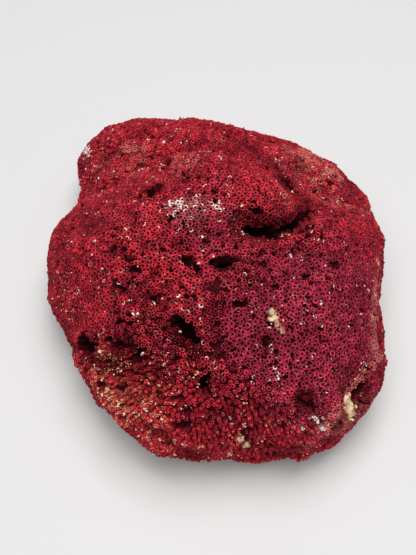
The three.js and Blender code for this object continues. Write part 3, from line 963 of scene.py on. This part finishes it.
def looks_at(places, facing, ground, relief, sunken, lift, nearest, random):
    """What colours each pipe, and the turn that its sides start at."""
    count = len(places)
    flush, loose, peg, lumpy = ground.flush, ground.loose, ground.peg, ground.lumpy
    # Painted shade: pipes darken where the coral covers their sky, in hollows, on sunken pipes and in the
    # shade patches
    shade = shelter(places, facing, random)
    shade = ((shade + shade[nearest].mean(1)) / 2 - SHADE_FREE) / SHADE_SPAN
    hollow = (HOLLOW_USUAL + HOLLOW_LUMPY * lumpy) * np.maximum(0, -relief - LUMP_TOP)
    hollow = hollow + HOLLOW_SUNKEN * sunken
    # Painted highlight: lump tops, with the bleached patches, turn salmon
    top = (TOP_USUAL + TOP_LUMPY * lumpy) * np.maximum(0, relief - LUMP_TOP)
    # Painted highlight: ridges get paler rims and a lighter tone
    ridge = (lift - np.median(lift)) / RIDGE_LIFT
    ridge = (ridge + ridge[nearest].mean(1)).clip(-RIDGE_LIMIT, RIDGE_LIMIT) / 2
    pale = PALE_CHANCE * random.random(count) ** 2 + PALE_RIDGE * ridge + PALE_LOOSE * loose
    pale = (pale + PALE_RELIEF * relief - PALE_PEG * peg).clip(0, 1)
    rose = patchwork(places, ROSE_PATCHES)
    worn = patchwork(places, WORN_PATCHES).clip(0, 1)
    faded_and_lit = top + patchwork(places, BLEACH_AND_HIGHLIGHT_PATCHES)
    coat = patchwork(places, FROST_PATCHES)
    frosted = random.random(count) < FROST_USUAL + FROST_WORN * worn + coat
    crusts = [(x, y, CRUST_SPREAD * reach, 1) for x, y, reach, *_ in SAND_CRUSTS + CHALK_CRUSTS]
    tint = relief_of(places, TINT_WAVES) + patchwork(places, BRIGHT_PATCHES)
    tint = tint + TINT_USUAL + TINT_PEG * peg + TINT_RIDGE * ridge + TINT_RELIEF * relief
    return {
        "worn": worn,
        "coat": coat,
        "pale": pale * (1 - PALE_FLUSH * flush),
        "frost": frosted * random.uniform(*FROST_RANGE, count),
        "crust": patchwork(places, crusts),
        "rose": (ROSE_PATCH * rose + ROSE_FLUSH * flush - ROSE_DROP).clip(0, 1),
        "shade": (shade.clip(0, 1) + hollow + patchwork(places, SHADE_PATCHES)).clip(0, 1),
        "start": random.uniform(0, FULL_TURN, count),
        "unlike": random.uniform(*STEP_RANGE, count),
        "sand": patchwork(places, SAND_PATCHES).clip(0, 1) * random.uniform(*SAND_RANGE, count),
        "tint": (tint + TINT_SPREAD * random.normal(size=count)).clip(0, 1),
        "bleach_and_highlight": (faded_and_lit * random.uniform(*BLEACH_RANGE, count)).clip(0, 1),
    }


@functools.cache
def pipe_places():
    """Every pipe of the colony: its mouth, axis, sides, step and looks."""
    settings = bpy.context.scene.coral_pipes
    random = np.random.default_rng(settings.seed)
    crowd, facing = scattered(CROWD, random)
    crowd = crowd[~on_base(crowd, facing)]
    chosen = evened(crowd[spaced(crowd, settings.spacing)], crowd)
    places, facing = nearest_on(skin(), chosen)
    nearest = neighbours(places, NEAR)
    ways, lift = growth(places)
    ground = ground_at(places)
    relief = relief_of(places, LUMP_WAVES)
    axes = axes_at(places, facing, ways, ground, nearest)
    gap = gap_depth(places)
    lost = (gap > 0) | (room_above(places, axes, ROOM) < LEAST_ROOM)
    rise, sunken = rise_at(places, ground, relief, random)
    axes = unit(axes + random.normal(0, 1, axes.shape) * (TILT + PEG_TILT * ground.peg[:, None]))
    tips = places + axes * (rise * MM)[:, None]
    lost |= tips[:, 2] < settings.width / 2 + FLOOR_ROOM
    looks = looks_at(places, facing, ground, relief, sunken, lift, nearest, random)
    first, second = across(axes)
    turns = looks["start"][:, None] + FULL_TURN * (np.arange(settings.sides) / settings.sides)
    step = settings.open_step * (ground.loose + STEP_PEG * ground.peg)
    step = step + settings.flush_step * ground.flush
    pipes = SimpleNamespace(
        tips=tips,
        axes=axes,
        first=first,
        second=second,
        turns=turns,
        step=step * looks["unlike"],
        flush=ground.flush,
        peg=ground.peg,
        pit=(1 + gap).clip(0, 1),
        sunk=np.maximum(0, -rise),
        **looks,
    )
    pipes = some_pipes(pipes, ~lost)
    pipes.collar = collar_reach(pipes.first, pipes.second, pipes.tips, pipes.turns, COLLAR_LIMIT)
    return pipes


def some_pipes(pipes, chosen):
    """Only the chosen ones of the pipes."""
    return SimpleNamespace(**{key: value[chosen] for key, value in vars(pipes).items()})


def pipe_piece(name, pipes, settings, finish, random, lowest=0):
    """One joined mesh of many pipes, from their lowest ring up."""
    rings, depths = pipe_rings(pipes, settings, random)
    rings, depths, spots = rings[:, lowest:], depths[:, lowest:], RING_SPOTS[lowest:]
    count, number, sides = depths.shape
    corners = number * sides + 1

    def with_end(values, end):
        return np.concatenate((values.reshape(count, -1), np.full((count, 1), end)), 1)

    bore, chip, frost = np.zeros((3, count, number, sides))
    # Painted shade: the bore value darkens each bore from its mouth down
    bore[:, -1] = MOUTH_DARK
    chip[:, -2:] = depths[:, -2:-1] / MM
    frost_side = random.uniform(0, FULL_TURN, (count, 1))
    coated = np.cos(pipes.turns - frost_side) > COAT_EDGE - COAT_WIDER * pipes.coat[:, None]
    frost[:, -2:] = (pipes.frost[:, None] * coated)[:, None]
    frost[:, -3] = (pipes.coat * pipes.frost)[:, None]
    # Painted shade: sunken mouths count as deeper, so darker
    depth = (depths / settings.root + (pipes.sunk * SUNK_DARKER)[:, None, None]).clip(0, 1)
    values = {key: np.repeat(getattr(pipes, key), corners) for key in PIPE_LOOKS}
    values["depth"] = with_end(depth, 1)
    values["bore"] = with_end(bore, 1)
    values["chip"] = with_end(chip, 0)
    values["frost"] = with_end(frost, 0)
    ends = pipes.tips - pipes.axes * settings.bore_depth
    places = np.concatenate((rings.reshape(count, -1, 3), ends[:, None]), 1).reshape(-1, 3)
    places[:, 2] = np.maximum(places[:, 2], 0)
    faces = [copies(kind, count, corners) for kind in pipe_faces(number, sides)]
    return new_piece(name, places, faces, finish, pipe_spots(count, sides, spots), values, SHARP_EDGE)


class CORAL_OT_core(bpy.types.Operator):
    """Build the skeleton's core, seen between the pipes and in the pits"""

    bl_idname = "coral.core"
    bl_label = "Skeleton core"

    def execute(self, context):
        form = remade(CORE_STEP, SKIN_SMOOTHING)
        free = room_above(form.places, form.facing, CORE_ROOM) / CORE_ROOM
        edges = np.concatenate((form.corners[:, :2], form.corners[:, 1:]))
        for _ in range(CORE_EVENING):
            total, number = free.copy(), np.ones(len(free))
            for here, there in (edges.T, edges.T[::-1]):
                np.add.at(total, here, free[there])
                np.add.at(number, here, 1)
            free = total / number
        gap = gap_depth(form.places)
        ways, _ = growth(form.places)
        sink = GAP_SINK * (GAP_SLOPE * gap).clip(0, 1)
        inset = PIT_INSET + (context.scene.coral_pipes.clearance - PIT_INSET) * free**2
        inset = inset + relief_of(form.places, CORE_WAVES) * MM
        places = form.places - form.facing * inset[:, None] - ways * sink[:, None]
        places[on_base(form.places, form.facing), 2] = CORE_BASE
        places[:, 2] = np.maximum(places[:, 2], CORE_BASE)
        finish = core_finish(context.scene.coral_colours)
        # Painted shade: the core turns black in and around the gaps and where little room lies above
        values = {"hollow": np.maximum((GAP_BLACK + GAP_SLOPE * gap).clip(0, 1), 1 - free)}
        new_piece("coral_core", places, [form.corners], finish, None, values, math.pi)
        return {"FINISHED"}


class CORAL_OT_pipes(bpy.types.Operator):
    """Grow the pipes and platforms all over the colony"""

    bl_idname = "coral.pipes"
    bl_label = "Pipes and platforms"

    def execute(self, context):
        settings = context.scene.coral_pipes
        random = np.random.default_rng(settings.seed + 1)
        finish = pipe_finish(context.scene.coral_colours)
        pipes = pipe_places()
        order = np.argsort(np.arctan2(pipes.tips[:, 0], -pipes.tips[:, 1]))
        for name, chosen in zip(PIPE_GROUPS, np.array_split(order, len(PIPE_GROUPS))):
            pipe_piece(name, some_pipes(pipes, chosen), settings, finish, random)
        return {"FINISHED"}


class CORAL_OT_cut_base(bpy.types.Operator):
    """Show the cut ends of the pipes on the flat base"""

    bl_idname = "coral.cut_base"
    bl_label = "Cut base"

    def execute(self, context):
        settings = context.scene.coral_pipes
        random = np.random.default_rng(settings.seed + 2)
        places, facing = scattered(BASE_CROWD, random)
        places = places[on_base(places, facing)]
        places[:, 2] = 0
        places = places[spaced(places, settings.spacing * BASE_SPACING)]
        count = len(places)
        axes = np.tile((0.0, 0.0, -1.0), (count, 1))
        first, second = across(axes)
        turns = FULL_TURN * np.arange(BASE_SIDES) / BASE_SIDES + random.random((count, 1))
        pipes = SimpleNamespace(
            tips=places,
            axes=axes,
            first=first,
            second=second,
            turns=turns,
            step=np.full(count, BASE_STEP),
            flush=np.ones(count),
            collar=collar_reach(first, second, places, turns, BASE_COLLAR),
            tint=random.random(count),
            pale=random.random(count),
            **{key: np.zeros(count) for key in ("peg", "sunk", "frost", "coat")},
            **{key: np.full(count, value) for key, value in BASE_LOOKS.items()},
        )
        finish = bpy.data.materials["coral_pipes"]
        pipe_piece("cut_pipes", pipes, settings, finish, random, lowest=1)
        return {"FINISHED"}


def spans(limits, count, random):
    """Random lengths, widths and heights between the limits."""
    return np.stack([random.uniform(*limit, count) for limit in limits], -1)


def grain_form():
    """Corners and triangles of a round grain with twenty sides."""
    gold = (1 + math.sqrt(5)) / 2
    pairs = list(itertools.product((-1, 1), repeat=2))
    corners = [(0, a, b * gold) for a, b in pairs]
    corners += [(a, b * gold, 0) for a, b in pairs]
    corners += [(b * gold, 0, a) for a, b in pairs]
    corners = unit(np.array(corners, float))
    faces = []
    for trio in itertools.combinations(range(GRAIN_CORNERS), 3):
        a, b, c = corners[list(trio)]
        if max(np.linalg.norm(a - b), np.linalg.norm(b - c), np.linalg.norm(c - a)) < GRAIN_EDGE:
            outward = np.dot(np.cross(b - a, c - a), a + b + c) > 0
            faces.append(trio if outward else trio[::-1])
    return corners, np.array(faces)


def sideways(pipes, chosen, random):
    """A random way across each of the chosen pipes, as long as a pipe is wide."""
    swing = random.uniform(0, FULL_TURN, len(chosen))
    width = np.full(len(chosen), bpy.context.scene.coral_pipes.width)
    return round_about(pipes.first[chosen], pipes.second[chosen], swing, width)


def grain_piece(name, form, grains, finish, random):
    """One joined mesh of many rough grains, flakes or chips that lie clear of the floor."""
    corners, faces = form
    count = len(grains.places)
    places = grains.places.copy()
    places[:, 2] = np.maximum(places[:, 2], grains.sizes)
    rough = 1 + grains.jagged[:, None, None] * random.uniform(-1, 1, (count, len(corners), 1))
    shape = corners * rough * grains.spans[:, None] * (grains.sizes / 2)[:, None, None]
    first, second = across(unit(grains.axes + random.normal(0, GRAIN_TILT, grains.axes.shape)))
    turns = random.uniform(0, FULL_TURN, count)[:, None]
    side_a = first * np.cos(turns) + second * np.sin(turns)
    side_b = second * np.cos(turns) - first * np.sin(turns)
    ways = np.stack((side_a, side_b, np.cross(side_a, side_b)), 1)
    solid = places[:, None] + np.einsum("npk,nkc->npc", shape, ways)
    values = {"tint": np.repeat(random.random(count), len(corners))}
    every = copies(faces, count, len(corners))
    return new_piece(name, solid.reshape(-1, 3), [every], finish, values=values)


class CORAL_OT_chips(bpy.types.Operator):
    """Scatter chips of broken pipe walls that stick between the pipes"""

    bl_idname = "coral.chips"
    bl_label = "Wall chips"

    def execute(self, context):
        grit = context.scene.coral_grit
        count = grit.chip_count
        random = np.random.default_rng(grit.seed + 1)
        pipes = pipe_places()
        weight = CHIP_FLUSH + (1 - pipes.flush)
        chosen = random.choice(len(weight), count, p=weight / weight.sum())
        out = sideways(pipes, chosen, random)
        down = (pipes.step[chosen] * random.uniform(0, 1, count))[:, None]
        places = pipes.tips[chosen] - pipes.axes[chosen] * down
        chips = SimpleNamespace(
            places=places + out * random.uniform(*CHIP_OUT, (count, 1)),
            axes=pipes.axes[chosen],
            sizes=grit.chip * random.lognormal(*CHIP_SPREAD, count),
            spans=spans(CHIP_SPANS, count, random),
            jagged=np.full(count, GRAIN_JAGGED),
        )
        form = np.array(CHIP_CORNERS) / math.sqrt(3), np.array(CHIP_FACES)
        grain_piece("wall_chips", form, chips, chip_finish(context.scene.coral_colours), random)
        return {"FINISHED"}


def grit_piece(name, number, weight, crusts, flakes, finish, random):
    """Grains on the pipes that aren't sunken, by weight, with the grains on the crusts and the flakes."""
    grain = bpy.context.scene.coral_grit.grain
    pipes = pipe_places()
    groups = [(number, GRAIN_USUAL + weight, GRAIN_SPREAD)]
    for x, y, reach, count, _ in crusts:
        if count:
            groups.append((count, patchwork(pipes.tips, [(x, y, reach, 1)]), CRUST_GRAIN_SPREAD))
    chosen, sizes = [], []
    for count, share, spread in groups:
        share = share * (pipes.sunk < GRAIN_HIGH)
        chosen.append(random.choice(len(share), count, p=share / share.sum()))
        sizes.append(grain * random.lognormal(*spread, count))
    loose = sum(map(len, sizes))
    for x, y, wide in flakes:
        away = np.linalg.norm(pipes.tips - seen_at(x, y), axis=1)
        chosen.append([np.argmin(away)] * len(FLAKE_BITS))
        sizes.append(np.array(FLAKE_BITS) * wide * MM)
    chosen, sizes = np.concatenate(chosen), np.concatenate(sizes)
    bits = len(chosen) - loose
    out = sideways(pipes, chosen, random)
    grains = SimpleNamespace(
        places=pipes.tips[chosen] + out * random.uniform(*GRAIN_OUT, (len(chosen), 1)),
        axes=pipes.axes[chosen],
        sizes=sizes,
        spans=np.concatenate((spans(GRAIN_SPANS, loose, random), spans(FLAKE_SPANS, bits, random))),
        jagged=np.repeat((GRAIN_JAGGED, FLAKE_JAGGED), (loose, bits)),
    )
    grain_piece(name, grain_form(), grains, finish, random)


class CORAL_OT_grit(bpy.types.Operator):
    """Scatter chalk chips and sand grains, with the flakes and the grains on the crusts"""

    bl_idname = "coral.grit"
    bl_label = "Grit and flakes"

    def execute(self, context):
        grit, colours = context.scene.coral_grit, context.scene.coral_colours
        random = np.random.default_rng(grit.seed)
        pipes = pipe_places()
        kinds = (
            ("chalk_grains", grit.chalk_count, CHALK_WORN * pipes.worn, CHALK_CRUSTS, CHALK_FLAKES),
            ("sand_grains", grit.sand_count, pipes.sand, SAND_CRUSTS, SAND_FLAKES),
        )
        tones = ((colours.chalk, shaded(colours.chalk, CHALK_STAINED)), (colours.sand, colours.tan))
        for (name, *scatter), tone in zip(kinds, tones):
            grit_piece(name, *scatter, grain_finish(name, *tone), random)
        return {"FINISHED"}


def crust_corners(place, reach, mouths, random):
    """Top, rings and root of one low ragged crust that lies on the mouths."""
    way = growth(place[None])[0][0]
    first, second = across(way[None])
    turns = FULL_TURN * np.arange(CRUST_SIDES) / CRUST_SIDES
    far = np.arange(1, CRUST_RINGS + 1)[:, None] / CRUST_RINGS
    wide = reach * far * (1 + CRUST_RAGGED * random.uniform(-1, 1, CRUST_SIDES))
    flat = place + round_about(first, second, turns, wide)
    flat = np.concatenate((place[None], flat.reshape(-1, 3)))
    near = [[found[0] for found in mouths.find_n(point, CRUST_BED)] for point in flat]
    bed = ((np.array(near).mean(1) - flat) * way).sum(1)
    thick = CRUST_THICK * (1 - far**2) * random.uniform(*CRUST_LUMPS, wide.shape) - CRUST_EDGE * far**4
    lift = bed + np.concatenate(((CRUST_THICK,), thick.ravel()))
    return np.concatenate((flat + way * lift[:, None], (place - way * CRUST_ROOT)[None]))


def crust_faces():
    """Fans and quads that close one crust."""
    side = np.arange(CRUST_SIDES)
    turn = (side + 1) % CRUST_SIDES
    last = 1 + (CRUST_RINGS - 1) * CRUST_SIDES
    top = np.stack((0 * side, 1 + side, 1 + turn), -1)
    root = np.stack((0 * side + last + CRUST_SIDES, last + turn, last + side), -1)
    low = 1 + CRUST_SIDES * np.arange(CRUST_RINGS - 1)[:, None]
    high = low + CRUST_SIDES
    quads = np.stack((low + side, high + side, high + turn, low + turn), -1).reshape(-1, 4)
    return np.concatenate((top, root)), quads


class CORAL_OT_crusts(bpy.types.Operator):
    """Lay the crusts on the mouths of the pipes"""

    bl_idname = "coral.crusts"
    bl_label = "Crusts"

    def execute(self, context):
        random = np.random.default_rng(context.scene.coral_grit.seed + 2)
        colours = context.scene.coral_colours
        mouths = tree_of(pipe_places().tips)
        corners = np.stack(
            [crust_corners(seen_at(x, y), reach * MM, mouths, random) for x, y, reach, *_ in SAND_CRUSTS]
        )
        count, each, _ = corners.shape
        faces = [copies(kind, count, each) for kind in crust_faces()]
        clean = np.repeat([crust[-1] for crust in SAND_CRUSTS], each)
        values = {"tint": clean * random.random(count * each)}
        finish = grain_finish("crusts", colours.sand, colours.crust)
        new_piece("crusts", corners.reshape(-1, 3), faces, finish, values=values)
        return {"FINISHED"}


def soft_light(name, power, size, place, target):
    """A square soft light that faces the target."""
    lamp = bpy.data.lights.new(name, "AREA")
    lamp.energy = power
    lamp.size = size
    light = bpy.data.objects.new(name, lamp)
    way = Vector(place) - Vector(target)
    light.matrix_world = Matrix.Translation(place) @ way.to_track_quat("Z", "Y").to_matrix().to_4x4()
    bpy.context.scene.collection.objects.link(light)


class CORAL_OT_stage(bpy.types.Operator):
    """Set the floor, the soft light and the camera at the photo's angle"""

    bl_idname = "coral.stage"
    bl_label = "Stage"

    def execute(self, context):
        scene = context.scene
        stage = scene.coral_stage
        mesh = bpy.data.meshes.new("floor")
        corners = [(-1, -1, 0), (1, -1, 0), (1, 1, 0), (-1, 1, 0)]
        mesh.from_pydata(np.array(corners) * FLOOR_HALF, [], [(0, 1, 2, 3)])
        mesh.materials.append(floor_finish(stage))
        floor = bpy.data.objects.new("floor", mesh)
        scene.collection.objects.link(floor)
        soft_light("key", stage.key_power, KEY_SIZE, KEY_PLACE, stage.target)
        soft_light("fill", stage.fill_power, FILL_SIZE, FILL_PLACE, stage.target)
        sky = bpy.data.worlds.new("studio")
        sky.use_nodes = True
        air = sky.node_tree.nodes["Background"].inputs
        air["Color"].default_value = WHITE
        air["Strength"].default_value = stage.sky
        scene.world = sky
        scene.view_settings.view_transform = "Standard"
        eye, _, _, back, _ = photo_camera()
        lens = bpy.data.cameras.new("photo_camera")
        lens.lens = stage.lens
        lens.sensor_width = SENSOR
        lens.clip_start = CLIP_START
        camera = bpy.data.objects.new("photo_camera", lens)
        camera.location = eye
        camera.rotation_mode = "QUATERNION"
        camera.rotation_quaternion = Vector(-back).to_track_quat("-Z", "Y")
        scene.collection.objects.link(camera)
        scene.camera = camera
        return {"FINISHED"}


class CORAL_PT_panel(bpy.types.Panel):
    """The coral's settings and the steps that build it"""

    bl_idname = "CORAL_PT_panel"
    bl_label = "Organ-Pipe Coral"
    bl_space_type = "VIEW_3D"
    bl_region_type = "UI"
    bl_category = "Coral"

    def draw(self, context):
        for operator in OPERATORS:
            self.layout.operator(operator.bl_idname)
        for name in SETTINGS:
            group = getattr(context.scene, name)
            box = self.layout.box()
            for key in group.bl_rna.properties.keys():
                if key not in ("rna_type", "name"):
                    box.prop(group, key)


OPERATORS = (
    CORAL_OT_stage,
    CORAL_OT_core,
    CORAL_OT_pipes,
    CORAL_OT_cut_base,
    CORAL_OT_chips,
    CORAL_OT_grit,
    CORAL_OT_crusts,
)
SETTINGS = {
    "coral_pipes": PipeSettings,
    "coral_colours": ColourSettings,
    "coral_grit": GritSettings,
    "coral_stage": StageSettings,
}


def register():
    for group in SETTINGS.values():
        bpy.utils.register_class(group)
    for name, group in SETTINGS.items():
        setattr(bpy.types.Scene, name, PointerProperty(type=group))
    for operator in (*OPERATORS, CORAL_PT_panel):
        bpy.utils.register_class(operator)


def unregister():
    for operator in (CORAL_PT_panel, *reversed(OPERATORS)):
        bpy.utils.unregister_class(operator)
    for name in SETTINGS:
        delattr(bpy.types.Scene, name)
    for group in SETTINGS.values():
        bpy.utils.unregister_class(group)


def main():
    register()
    bpy.ops.coral.stage()
    bpy.ops.coral.core()
    bpy.ops.coral.pipes()
    bpy.ops.coral.cut_base()
    bpy.ops.coral.chips()
    bpy.ops.coral.grit()
    bpy.ops.coral.crusts()


if __name__ == "__main__":
    main()
